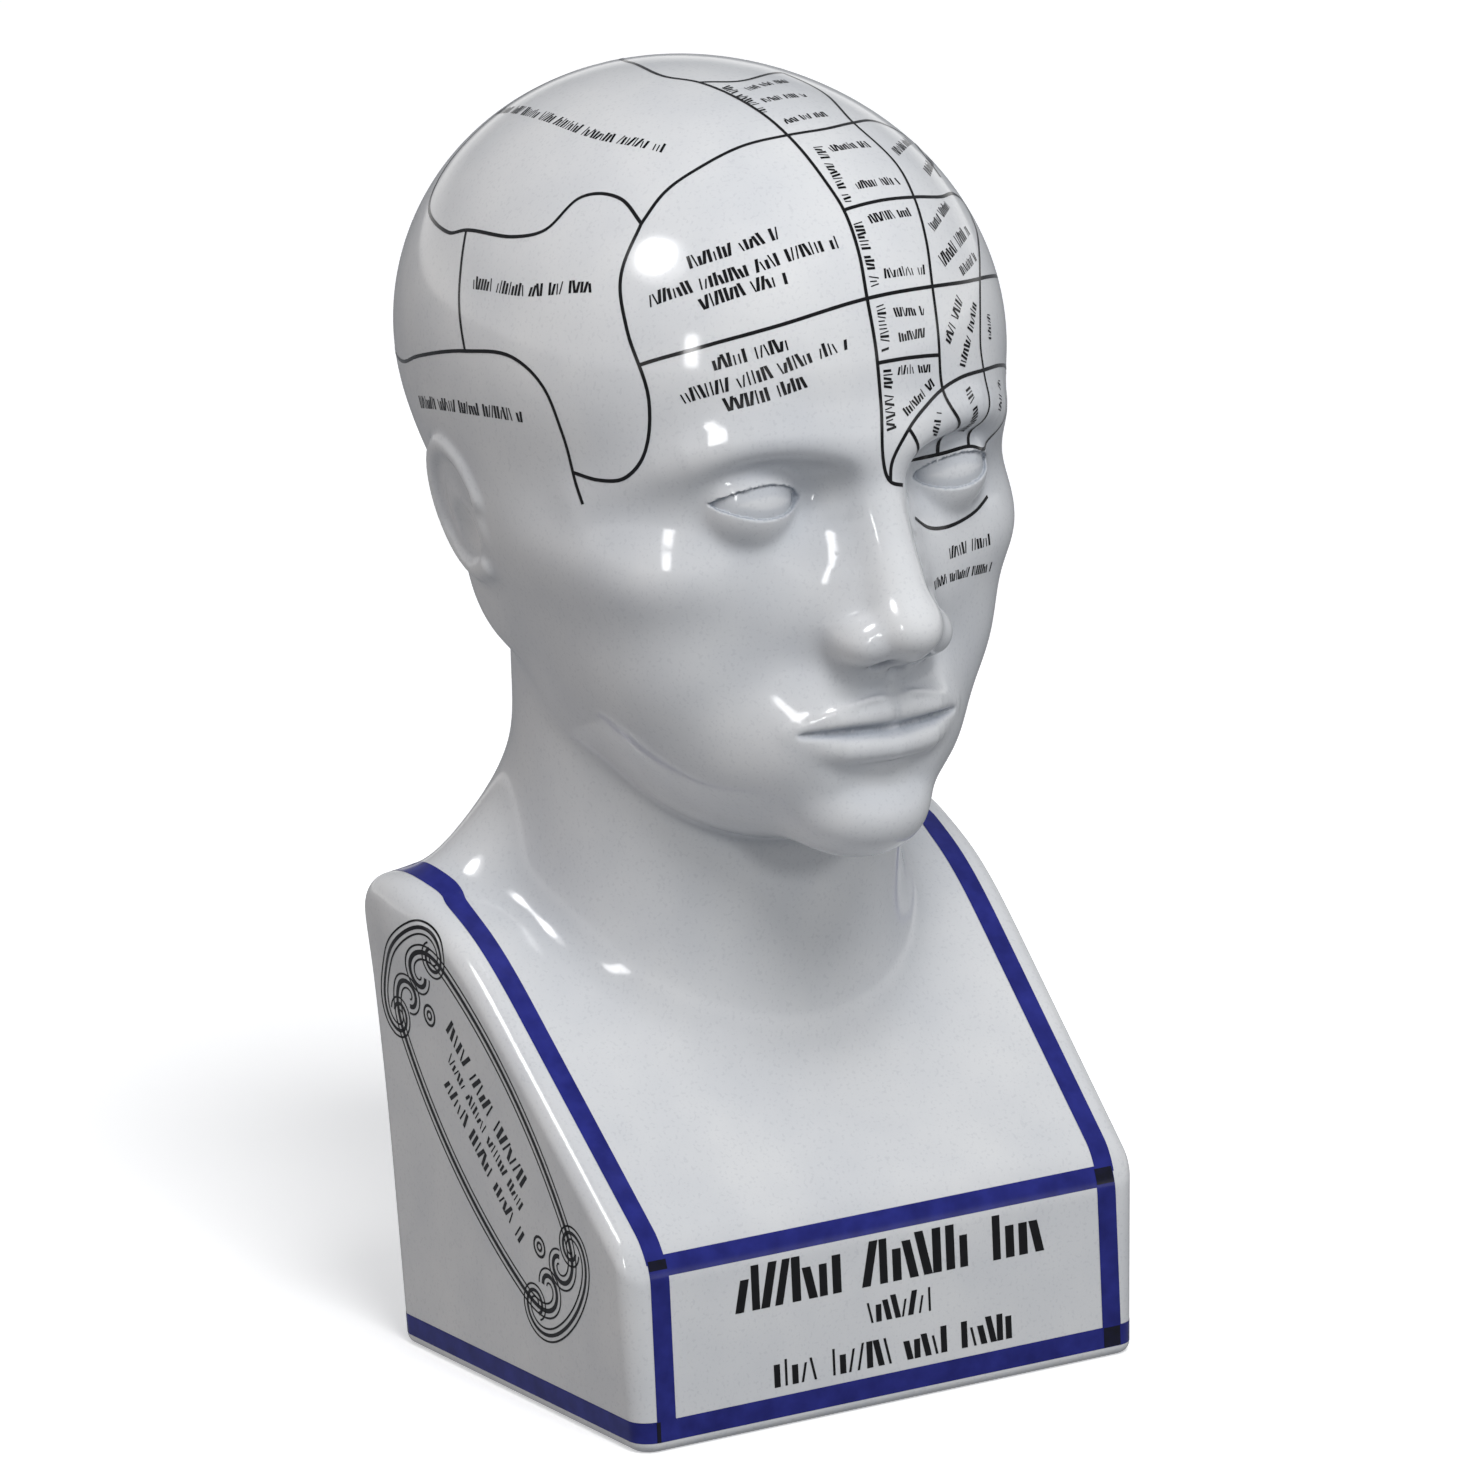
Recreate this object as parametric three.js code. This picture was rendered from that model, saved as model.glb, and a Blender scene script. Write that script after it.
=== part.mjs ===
// Phrenology head: a slip-cast, glazed ceramic bust on its own wedge-shaped shoulder block.
// Millimetres, +Z up, the face towards -Y, origin in the middle of the flat underside.
import * as THREE from 'three';
import { mergeVertices } from 'three/addons/utils/BufferGeometryUtils.js';

// Driving dimensions of the block
const baseWidth = 131;
const baseDepth = 110.4;
const shoulderWidth = 141.8; // width of the block at shoulder height: its sides flare a little
const shoulderHeight = 112.4;
const panelHeight = 45.3; // upright front panel, up to where the chest starts
const chestSlope = 41.5; // degrees that the chest leans back from level
const panelDraft = 0.021; // how far the front panel leans back for each mm up
const backSwell = 2.6; // how far the back stands out at shoulder height
const edgeRadius = 5;
const footRadius = 2.2;
const backEdgeRadius = 9;

// Driving dimensions of the neck
const neckWidth = 89.6;
const neckDepth = 80;
const neckSetback = 18.2; // middle of the neck, behind the middle of the base

// Driving dimensions of the head
const totalHeight = 296.4;
const headHeight = 170; // chin to crown
const headSetback = 15.6; // middle of the skull, behind the middle of the base

// How closely the surface is faceted
const frontColumns = 20; // columns of facets on each half of the block's front
const cornerColumns = 4; // round each of its front edges
const sideColumns = 9;
const backCornerColumns = 3;
const backColumns = 4;
const craniumRings = 7;
const neckRings = 5;

const glazeColour = 0xe9eaec;

// Blends of two surfaces, each given as its distance from a point: negative inside.
// softUnion and softCut melt them together over the width k, roundEdge rolls the edge where two faces meet.
function softUnion(a, b, k) {
  const h = Math.max(k - Math.abs(a - b), 0) / k;
  return Math.min(a, b) - (h * h * h * k) / 6;
}

function softCut(a, b, k) {
  return -softUnion(-a, b, k);
}

function softMeet(a, b, k) {
  return -softUnion(-a, -b, k);
}

function roundEdge(a, b, r) {
  const u = a + r;
  const v = b + r;
  return Math.hypot(Math.max(u, 0), Math.max(v, 0)) + Math.min(Math.max(u, v), 0) - r;
}

// Distance to an ellipsoid
function ovoid(x, y, z, at, size) {
  const a = (x - at[0]) / size[0];
  const b = (y - at[1]) / size[1];
  const c = (z - at[2]) / size[2];
  const reach = Math.sqrt(a * a + b * b + c * c) + 1e-9;
  const slope = Math.hypot(a / size[0], b / size[1], c / size[2]) + 1e-9;
  return (reach * (reach - 1)) / slope;
}

// Distance to a round rod whose radius runs from ra to rb
function rod(x, y, z, a, b, ra, rb) {
  const bx = b[0] - a[0];
  const by = b[1] - a[1];
  const bz = b[2] - a[2];
  const px = x - a[0];
  const py = y - a[1];
  const pz = z - a[2];
  const t = THREE.MathUtils.clamp((px * bx + py * by + pz * bz) / (bx * bx + by * by + bz * bz), 0, 1);
  return Math.hypot(px - t * bx, py - t * by, pz - t * bz) - (ra + (rb - ra) * t);
}

// The head is sculpted from lumps and hollows. Their places and sizes are hundredths of the head's height:
// x from the middle line, y from the middle of the skull with the face at minus, z up from the chin.
// Anything off the middle line is made on both sides.
// A form that leans moves outwards and backwards with each unit that it rises above the lean's own height.
const sculpt = [];
const upright = { z: 0, out: 0, back: 0 };

function form(sign, blend, parts, lean) {
  sculpt.push({ sign, blend, parts, lean });
}

function lump(blend, at, size, lean = upright) {
  form(1, blend, [{ at, size }], lean);
}

function hollow(blend, at, size, lean = upright) {
  form(-1, blend, [{ at, size }], lean);
}

// A chain of rods along a smooth curve through the points, with a radius at each point
const rodsPerSpan = 4;

function chain(points, radii) {
  const curve = new THREE.CatmullRomCurve3(points.map((p) => new THREE.Vector3(...p)));
  const spans = points.length - 1;
  const nodes = Array.from({ length: spans * rodsPerSpan + 1 }, (_, i) => {
    const span = Math.min(Math.floor(i / rodsPerSpan), spans - 1);
    const radius = THREE.MathUtils.lerp(radii[span], radii[span + 1], i / rodsPerSpan - span);
    return { at: curve.getPoint(i / (spans * rodsPerSpan)).toArray(), radius };
  });
  return nodes.slice(1).map((b, i) => ({ a: nodes[i].at, b: b.at, ra: nodes[i].radius, rb: b.radius }));
}

function rib(blend, points, radii, lean = upright) {
  form(1, blend, chain(points, radii), lean);
}

function groove(blend, points, radii, lean = upright) {
  form(-1, blend, chain(points, radii), lean);
}

// Skull
lump(1, [0, 2.6, 64], [37.2, 44.6, 34.4]);
lump(10, [0, 2, 72], [31, 38, 26.4]);
lump(12, [0, -13.5, 64], [32.8, 33, 31.5]);
lump(10, [0, 2, 50], [33, 29, 24]);

// Face and jaw
lump(12, [0, -11, 38], [30.5, 31, 38]);
lump(10, [0, -21, 18], [22, 25, 17.5]);
lump(8, [20.5, -3, 25], [6.2, 9, 14]);
lump(8, [24.5, 5, 36], [7, 9, 12]);
lump(8, [0, -24, 36], [19.5, 21.2, 15]);
lump(12, [18.4, -21, 29], [9, 13, 11]);
lump(7, [0, -33.5, 20.5], [14, 13.6, 10.5]);
lump(8, [0, -37.6, 6.9], [9, 9.2, 6.6]);
lump(12, [19, -27, 40.5], [9.5, 9.5, 6]);
lump(14, [26, -12, 42], [6, 13, 5.5]);

// Brow and eye sockets
lump(7, [0, -41.8, 57.2], [7, 4.6, 5]);
rib(9, [[4, -43.6, 56.2], [13.5, -42.4, 58], [22, -36.4, 56.6], [29, -21, 50]], [2.1, 2, 1.2, 0.1]);
hollow(6, [14.6, -47, 50.6], [10.2, 9.4, 5.6]);
hollow(3.5, [7.4, -45.9, 50.8], [2.6, 5, 3.4]);

// Nose
rib(6, [[0, -39.6, 51], [0, -43.2, 33.4]], [4.8, 8]);
rib(4.5, [[0, -43.6, 54], [0, -46.9, 44], [0, -50.6, 35.6]], [2.9, 3.2, 3.8]);
lump(3.2, [0, -51.7, 33.6], [4.4, 4.8, 4]);
lump(3, [5.3, -47.6, 31.8], [3.2, 4.6, 3.4]);
rib(2, [[0, -52.2, 30.9], [0, -48.2, 29.2]], [1.6, 1.5]);
hollow(1, [3.1, -50.2, 28.9], [1.4, 2.7, 1.5]);

// Mouth and chin
rib(2.8, [[1.6, -46.6, 21.9], [6.6, -45.1, 21.3], [12, -40.9, 19.7]], [2, 1.9, 0.9]);
rib(2.8, [[0, -46.1, 16.7], [5.6, -45, 17.1], [11.4, -40.9, 18.8]], [2.7, 2.4, 0.9]);
groove(1.6, [[0, -49.6, 19.2], [6.2, -47.9, 19.5], [12, -42.6, 19.2]], [0.5, 0.45, 0.15]);
groove(2.6, [[0, -49.5, 27], [0, -50.2, 24]], [0.8, 1]);
hollow(5, [0, -49.4, 12.4], [8.6, 4.4, 2]);

// Ear, in low relief: a leaning plate with a rim, a furrow inside it, a bowl and the small flap before it
const ear = { x: 32.6, y: 4.2, z: 44.2, halfWidth: 6.4, halfHeight: 9 };
const earLean = { z: ear.z, out: 0.16, back: 0.2 };

function earArc(x, share, from, to, steps) {
  return Array.from({ length: steps + 1 }, (_, i) => {
    const turn = THREE.MathUtils.degToRad(from + ((to - from) * i) / steps);
    const back = ear.halfWidth * share * Math.cos(turn);
    return [x, ear.y + back, ear.z + ear.halfHeight * share * Math.sin(turn)];
  });
}

const rimArc = earArc(ear.x + 1.5, 0.93, 165, -120, 8);
const furrowArc = earArc(ear.x + 3.4, 0.62, 150, -20, 5);
lump(2.4, [ear.x, ear.y, ear.z], [2.4, ear.halfWidth, ear.halfHeight], earLean);
rib(2.2, rimArc, rimArc.map(() => 1.2), earLean);
groove(2, furrowArc, furrowArc.map(() => 1.1), earLean);
hollow(2, [ear.x + 3.6, ear.y - 1, ear.z - 2.6], [2.4, 2.6, 3.8], earLean);
lump(1.6, [ear.x + 1, ear.y - 5.4, ear.z - 2], [1.3, 1.4, 2.2], earLean);

// Eyeball with two lids: the lids are a slightly larger ball, opened where the eye looks out
const eye = { x: 14.6, y: -36.2, z: 50.2, radius: 6, lid: 0.6 };
const eyeOpening = { halfWidth: 7, upper: 2.6, lower: 1.8, slant: 0.3 };

function addEye(d, x, y, z) {
  const reach = Math.hypot(x - eye.x, y - eye.y, z - eye.z);
  if (reach > 2.5 * eye.radius) return d;
  const { halfWidth, upper, lower, slant } = eyeOpening;
  const u = (x - eye.x) / halfWidth;
  const rise = z - eye.z - slant * u;
  const gap = Math.max(rise - upper * (1 - u * u), -lower * (1 - u * u) - rise);
  const lids = softMeet(reach - eye.radius - eye.lid, -gap, 0.5);
  return softUnion(softUnion(d, lids, 2.6), reach - eye.radius, 0.25);
}

const middleBlend = 0.02; // rounds the crease that mirrored forms would leave on the middle line

function headDistance(x, y, z) {
  const side = Math.sqrt(x * x + middleBlend);
  let d = Infinity;
  for (const { sign, blend, parts, lean } of sculpt) {
    const out = side - lean.out * (z - lean.z);
    const back = y - lean.back * (z - lean.z);
    let near = Infinity;
    for (const part of parts) {
      const ahead = part.at
        ? ovoid(part.at[0] ? out : x, back, z, part.at, part.size)
        : rod(parts.at(-1).b[0] ? out : x, back, z, part.a, part.b, part.ra, part.rb);
      near = Math.min(near, ahead);
    }
    if (d === Infinity) d = near;
    else d = sign > 0 ? softUnion(d, near, blend) : softCut(d, near, blend);
  }
  return addEye(d, side, y, z);
}

// Shoulder block: its side view, cut off by the two flaring sides and rounded along every edge
const frontY = -baseDepth / 2;
const backY = baseDepth / 2;
const flare = (shoulderWidth - baseWidth) / 2 / shoulderHeight;
const slope = THREE.MathUtils.degToRad(chestSlope);
const swellStart = 0.4 * shoulderHeight;
const crestBlend = 26; // how softly the chest rolls over into the shoulder
const crestFall = 0.02; // how the shoulder falls off backwards

function backFace(y, z) {
  const swell = THREE.MathUtils.clamp((z - swellStart) / (0.9 * shoulderHeight - swellStart), 0, 1);
  return y - backY - backSwell * swell * swell;
}

function blockProfile(y, z) {
  const front = frontY + panelDraft * z - y;
  const overPanel = z - panelHeight;
  const behindPanel = y - frontY - panelDraft * panelHeight;
  const chest = overPanel * Math.cos(slope) - behindPanel * Math.sin(slope);
  const crest = z - shoulderHeight + crestFall * (y - backY * 0.7);
  const over = roundEdge(front, softMeet(chest, crest, crestBlend), edgeRadius);
  return roundEdge(over, backFace(y, z), backEdgeRadius);
}

function blockHalfWidth(z) {
  return baseWidth / 2 + flare * z;
}

function blockDistance(x, y, z) {
  const side = (Math.abs(x) - blockHalfWidth(z)) / Math.hypot(1, flare);
  return roundEdge(roundEdge(blockProfile(y, z), side, edgeRadius), -z, footRadius);
}

// Neck, and the muscles that fall from it to the ends of the shoulders
const headBase = totalHeight - headHeight;
const neckStretch = neckWidth / neckDepth;
const neckBlend = 20;
const shoulderBlend = 16;
const shoulderRoot = [neckWidth * 0.245, neckSetback + 16, shoulderHeight + 14];
const shoulderTip = [shoulderWidth / 2 - 10.4, neckSetback + 22, shoulderHeight - 9.4];

function neckDistance(x, y, z) {
  const low = [0, neckSetback, shoulderHeight - 30];
  const high = [0, neckSetback, headBase + headHeight * 0.37];
  return rod(x / neckStretch, y, z, low, high, neckDepth / 2, neckDepth / 2);
}

function shouldersDistance(x, y, z) {
  const side = Math.sqrt(x * x + 0.5);
  return rod(side, y, z, shoulderRoot, shoulderTip, 20, 8);
}

// The nape is flush with the back of the block, which trims what the blends add there
const napeTrim = 3;
const throatBlend = 4;

function bustDistance(x, y, z) {
  const share = headHeight / 100;
  let d = softUnion(blockDistance(x, y, z), neckDistance(x, y, z), neckBlend);
  d = softMeet(softUnion(d, shouldersDistance(x, y, z), shoulderBlend), backFace(y, z), napeTrim);
  const head = headDistance(x / share, (y - headSetback) / share, (z - headBase) / share);
  return softUnion(d, share * head, throatBlend);
}

// The surface is reached along rays from inside: level ones from the middle of the block,
// then ones that swing up with the neck, and a full fan from one point in the middle of the head.
const fanCentre = [neckSetback * 0.43, headBase + 0.43 * headHeight]; // y and z
const lowestFan = { front: -66, side: -38, back: -40 }; // degrees, where the fan takes over from the neck
const neckReach = neckDepth / 2;
const headReach = { front: 0.46 * headHeight, side: 0.36 * headHeight, back: 0.52 * headHeight };

function lowestRise(azimuth) {
  const c = Math.cos(azimuth);
  const { side, front, back } = lowestFan;
  return Math.tan(THREE.MathUtils.degToRad(side + ((c > 0 ? front : back) - side) * c * c));
}

// Rings lie level across the face, then climb towards the ear
const climbFrom = THREE.MathUtils.degToRad(40);
const climbTo = THREE.MathUtils.degToRad(90);
const sideSpan = [0.23, 0.93];

function faceRise(level, azimuth) {
  const c = Math.cos(azimuth);
  const along = c / (c > 0 ? headReach.front : headReach.back);
  const reach = 1 / Math.hypot(Math.sin(azimuth) / headReach.side, along);
  const share = (level - faceLevels.at(-1)) / (faceLevels[0] - faceLevels.at(-1));
  const sideLevel = THREE.MathUtils.lerp(...sideSpan, share);
  const climb = THREE.MathUtils.smoothstep(azimuth, climbFrom, climbTo);
  return (headBase + THREE.MathUtils.lerp(level, sideLevel, climb) * headHeight - fanCentre[1]) / reach;
}

// Columns, as azimuths from the face round one side to the back.
// On the head they are closest over the face and the ear.
function spread(from, to, count) {
  return Array.from({ length: count }, (_, i) => from + ((to - from) * (i + 1)) / count);
}

const headColumns = [
  0,
  ...spread(0, 12, 6),
  ...spread(12, 40, 10),
  ...spread(40, 78, 8),
  ...spread(78, 112, 9),
  ...spread(112, 180, 7),
].map(THREE.MathUtils.degToRad);

// On the block the corner columns lie on its rounded vertical edges, whose place changes with the height
function blockColumns(level) {
  const z = Math.min(level, 0.93 * shoulderHeight);
  const width = blockHalfWidth(z);
  const edgeY = (from, to) => {
    let [inside, outside] = [from, to];
    for (let i = 0; i < 30; i += 1) {
      const y = (inside + outside) / 2;
      if (blockProfile(y, z) < 0) inside = y;
      else outside = y;
    }
    return inside;
  };
  const middle = THREE.MathUtils.lerp(neckSetback, 0.7 * backY, z / shoulderHeight);
  const corner = (y, towards, count) => {
    const r = Math.min(edgeRadius, Math.abs(y - middle) / 2);
    return Array.from({ length: count + 1 }, (_, i) => {
      const turn = ((towards < 0 ? i : count - i) / count) * (Math.PI / 2);
      const px = width - r + r * Math.sin(turn);
      const py = y - towards * r + towards * r * Math.cos(turn);
      return Math.atan2(px, neckSetback - py);
    });
  };
  const front = corner(edgeY(middle, frontY - 1), -1, cornerColumns);
  const back = corner(edgeY(middle, backY + 2 * backSwell + 1), 1, backCornerColumns);
  return [
    0,
    ...spread(0, front[0], frontColumns),
    ...front.slice(1),
    ...spread(front.at(-1), back[0], sideColumns),
    ...back.slice(1),
    ...spread(back.at(-1), Math.PI, backColumns),
  ];
}

// Rings, from the crown down, each with the point its rays start from, its columns and how steeply each ray rises
const faceLevels = [
  0.96, 0.88, 0.79, 0.71, 0.65, 0.61, 0.58, 0.553, 0.53, 0.51, 0.492, 0.472, 0.445, 0.415, 0.385, 0.36,
  0.336, 0.315, 0.297, 0.28, 0.25, 0.222, 0.205, 0.19, 0.172, 0.148, 0.12, 0.085, 0.045,
];
const chinRings = 5;
const blockLevels = [1, 0.985, 0.955, 0.91, 0.83, 0.72, 0.6, 0.49];

function rings() {
  const [centreY, centreZ] = fanCentre;
  const list = [];
  const addFan = (rise) => list.push({ y: centreY, z: centreZ, columns: headColumns, rise });
  for (let i = 1; i < craniumRings; i += 1) {
    const share = i / craniumRings;
    addFan((azimuth) => {
      const lift = Math.PI / 2 + (Math.atan(faceRise(faceLevels[0], azimuth)) - Math.PI / 2) * share;
      return Math.tan(lift);
    });
  }
  for (const level of faceLevels) addFan((azimuth) => faceRise(level, azimuth));
  for (let i = 1; i <= chinRings; i += 1) {
    addFan((azimuth) => {
      return THREE.MathUtils.lerp(faceRise(faceLevels.at(-1), azimuth), lowestRise(azimuth), i / chinRings);
    });
  }
  const onShoulder = blockColumns(blockLevels[0] * shoulderHeight);
  for (let i = 1; i <= neckRings; i += 1) {
    const share = 1 - i / (neckRings + 1);
    const ease = share * share * (3 - 2 * share);
    const z = THREE.MathUtils.lerp(shoulderHeight, centreZ, share);
    list.push({
      y: THREE.MathUtils.lerp(neckSetback, centreY, share),
      z,
      columns: headColumns.map((azimuth, k) => THREE.MathUtils.lerp(onShoulder[k], azimuth, ease)),
      rise: (azimuth) => {
        const target = THREE.MathUtils.lerp(shoulderHeight, centreZ + neckReach * lowestRise(azimuth), share);
        return (target - z) / neckReach;
      },
    });
  }
  const levels = [
    ...blockLevels.map((level) => level * shoulderHeight),
    panelHeight + 0.5 * edgeRadius,
    panelHeight - 0.2 * edgeRadius,
    panelHeight - edgeRadius,
    footRadius,
    0.3 * footRadius,
    0,
  ];
  for (const z of levels) list.push({ y: neckSetback, z, columns: blockColumns(z), rise: () => 0 });
  return list;
}

// First way out of the solid along a ray
function exitPoint(origin, ray) {
  const at = (t) => bustDistance(origin[0] + ray[0] * t, origin[1] + ray[1] * t, origin[2] + ray[2] * t);
  let inside = 0;
  let outside = 0;
  for (let d = at(0); d < 0; d = at(outside)) {
    inside = outside;
    outside += Math.max(0.4, -0.6 * d);
  }
  for (let i = 0; i < 26; i += 1) {
    const t = (inside + outside) / 2;
    if (at(t) < 0) inside = t;
    else outside = t;
  }
  return origin.map((v, i) => v + ray[i] * outside);
}

function ringPoints({ y, z, columns, rise }) {
  const probe = Math.max(z, 0.01); // just above the flat underside, whose edge the last ring follows
  const half = columns.map((azimuth) => {
    const ray = [Math.sin(azimuth), -Math.cos(azimuth), rise(azimuth)];
    const length = Math.hypot(...ray);
    const [px, py, pz] = exitPoint([0, y, probe], ray.map((v) => v / length));
    return new THREE.Vector3(px, py, z === 0 ? 0 : pz);
  });
  half[0].x = 0;
  half[half.length - 1].x = 0;
  const mirrored = half.slice(1, -1).reverse().map((p) => new THREE.Vector3(-p.x, p.y, p.z));
  return [...half, ...mirrored];
}

// A sphere's grid of facets, laid over the points: its first pole is the crown, its last the underside
function bustGeometry() {
  const list = rings();
  const rows = list.map(ringPoints);
  const columnCount = rows[0].length;
  const crown = new THREE.Vector3(...exitPoint([0, ...fanCentre], [0, 0, 1]));
  const underside = new THREE.Vector3(0, neckSetback, 0);
  const blank = new THREE.SphereGeometry(1, columnCount, rows.length + 1);
  const position = blank.getAttribute('position');
  for (let i = 0; i < position.count; i += 1) {
    const row = Math.floor(i / (columnCount + 1));
    const ring = rows[row - 1];
    const point = row === 0 ? crown : ring ? ring[(i - row * (columnCount + 1)) % columnCount] : underside;
    position.setXYZ(i, point.x, point.y, point.z);
  }
  blank.deleteAttribute('normal');
  blank.deleteAttribute('uv');
  const merged = mergeVertices(blank, 1e-4);
  merged.computeVertexNormals();
  return merged;
}

const glaze = new THREE.MeshStandardMaterial({ color: glazeColour, roughness: 0.12, metalness: 0 });
const bust = new THREE.Mesh(bustGeometry(), glaze);
bust.name = 'phrenology_bust';

const object = new THREE.Group();
object.add(bust);

export default object;
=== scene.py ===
# Phrenology head: a slip-cast bust in white glazed ceramic, with cobalt bands and black lines printed
# under the glaze.
import math

import bmesh
import bpy
import numpy as np
from mathutils import Euler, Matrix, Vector


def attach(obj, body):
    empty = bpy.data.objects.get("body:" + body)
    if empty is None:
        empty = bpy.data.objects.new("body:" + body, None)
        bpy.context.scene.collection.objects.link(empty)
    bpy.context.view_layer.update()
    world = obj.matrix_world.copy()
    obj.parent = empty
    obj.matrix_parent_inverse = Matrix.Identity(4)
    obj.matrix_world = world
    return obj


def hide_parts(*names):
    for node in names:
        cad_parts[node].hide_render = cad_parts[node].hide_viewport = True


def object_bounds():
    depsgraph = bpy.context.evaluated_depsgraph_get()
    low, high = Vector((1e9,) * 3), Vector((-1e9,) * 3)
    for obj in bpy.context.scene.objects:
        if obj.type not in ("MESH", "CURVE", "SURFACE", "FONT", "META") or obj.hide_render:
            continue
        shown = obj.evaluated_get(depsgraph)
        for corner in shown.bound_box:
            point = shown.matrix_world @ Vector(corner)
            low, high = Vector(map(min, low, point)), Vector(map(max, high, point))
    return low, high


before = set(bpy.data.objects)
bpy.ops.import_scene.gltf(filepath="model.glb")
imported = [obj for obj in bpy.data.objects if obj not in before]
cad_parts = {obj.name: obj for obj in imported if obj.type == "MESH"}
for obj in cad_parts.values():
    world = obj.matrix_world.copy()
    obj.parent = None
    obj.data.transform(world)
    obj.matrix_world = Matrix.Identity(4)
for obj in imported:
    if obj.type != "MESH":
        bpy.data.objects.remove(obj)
cad_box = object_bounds()

MM = 0.001  # Blender works in metres, the sizes below are millimetres
BUST = "phrenology_bust"

# Sizes of the casting, the same as the solid's
BASE_WIDTH = 131.0
BASE_DEPTH = 110.4
SHOULDER_WIDTH = 141.8
SHOULDER_HEIGHT = 112.4
PANEL_HEIGHT = 45.3
CHEST_SLOPE = math.radians(41.5)
PANEL_DRAFT = 0.021
BACK_SWELL = 2.6
EDGE_RADIUS = 5.0
FOOT_RADIUS = 2.2
BACK_EDGE_RADIUS = 9.0
NECK_WIDTH = 89.6
NECK_DEPTH = 80.0
NECK_SETBACK = 18.2
TOTAL_HEIGHT = 296.4
HEAD_HEIGHT = 170.0
HEAD_SETBACK = 15.6
HEAD_BASE = TOTAL_HEIGHT - HEAD_HEIGHT

# How widely its forms run into each other
CREST_BLEND = 26.0
NECK_BLEND = 20.0
SHOULDER_BLEND = 16.0
BACK_BLEND = 3.0
JAW_BLEND = 2.0  # finer than the solid's, for the crease where the jaw meets the neck


# Blends of two surfaces, each given as its distance from a point, negative inside
def soft_union(a, b, k):
    h = np.maximum(k - np.abs(a - b), 0) / k
    return np.minimum(a, b) - h * h * h * k / 6


def soft_meet(a, b, k):
    return -soft_union(-a, -b, k)


def round_edge(a, b, r):
    u = a + r
    v = b + r
    return np.hypot(np.maximum(u, 0), np.maximum(v, 0)) + np.minimum(np.maximum(u, v), 0) - r


def ovoid(p, at, size):
    q = (p - at) / size
    reach = np.sqrt((q * q).sum(axis=1)) + 1e-9
    slope = np.sqrt(((q / size) ** 2).sum(axis=1)) + 1e-9
    return reach * (reach - 1) / slope


def rod(p, a, b, ra, rb):
    along = b - a
    t = np.clip((p - a) @ along / (along @ along), 0, 1)
    return np.linalg.norm(p - a - t[:, None] * along, axis=1) - (ra + (rb - ra) * t)


def smooth_curve(points, per_span):
    """Points of the centripetal spline through the given ones."""
    points = np.array(points, float)
    ends = [2 * points[0] - points[1], 2 * points[-1] - points[-2]]
    p = np.vstack([ends[0], points, ends[1]])
    gap = np.maximum(np.linalg.norm(np.diff(p, axis=0), axis=1) ** 0.5, 1e-6)
    out = []
    for i in range(1, len(points)):
        d0, d1, d2 = gap[i - 1], gap[i], gap[i + 1]
        leave = (p[i] - p[i - 1]) / d0 - (p[i + 1] - p[i - 1]) / (d0 + d1) + (p[i + 1] - p[i]) / d1
        arrive = (p[i + 1] - p[i]) / d1 - (p[i + 2] - p[i]) / (d1 + d2) + (p[i + 2] - p[i + 1]) / d2
        leave, arrive = leave * d1, arrive * d1
        rise = p[i + 1] - p[i]
        bend, twist = 3 * rise - 2 * leave - arrive, leave + arrive - 2 * rise
        for t in np.arange(per_span) / per_span:
            out.append(p[i] + leave * t + bend * t * t + twist * t**3)
    out.append(p[-2])
    return np.array(out)


# The head is sculpted from lumps and hollows, in hundredths of the head's height: x from the middle line,
# y from the middle of the skull, z up from the chin. Anything off the middle line is on both sides.
RODS_PER_SPAN = 4
# A lean is the height that it starts from, then the way outwards and the way back for each unit up
UPRIGHT = (0.0, 0.0, 0.0)
sculpt = []


def form(sign, blend, parts, lean):
    points = np.array([end for part in parts for end in part["ends"]])
    thickest = max(part["reach"] for part in parts)
    centre = (points.min(axis=0) + points.max(axis=0)) / 2
    reach = np.linalg.norm(points - centre, axis=1).max() + thickest
    paired = abs(points[-1][0]) > 0
    sculpt.append((sign, blend, parts, lean, centre, reach, paired))


def lump(blend, at, size, lean=UPRIGHT, sign=1):
    at, size = np.array(at, float), np.array(size, float)
    form(sign, blend, [{"ends": [at], "reach": size.max(), "distance": lambda p: ovoid(p, at, size)}], lean)


def hollow(blend, at, size, lean=UPRIGHT):
    lump(blend, at, size, lean, sign=-1)


def rib(blend, points, radii, lean=UPRIGHT, sign=1):
    nodes = smooth_curve(points, RODS_PER_SPAN)
    spans = np.linspace(0, len(radii) - 1, len(nodes))
    thick = np.interp(spans, range(len(radii)), radii)
    parts = []
    for a, b, ra, rb in zip(nodes[:-1], nodes[1:], thick[:-1], thick[1:]):
        def distance(p, a=a, b=b, ra=ra, rb=rb):
            return rod(p, a, b, ra, rb)

        parts.append({"ends": [a, b], "reach": max(ra, rb), "distance": distance})
    form(sign, blend, parts, lean)


def groove(blend, points, radii, lean=UPRIGHT):
    rib(blend, points, radii, lean, sign=-1)


def sculpt_skull():
    lump(1, [0, 2.6, 64], [37.2, 44.6, 34.4])
    lump(10, [0, 2, 72], [31, 38, 26.4])
    lump(12, [0, -13.5, 64], [32.8, 33, 31.5])
    lump(10, [0, 2, 50], [33, 29, 24])


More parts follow.
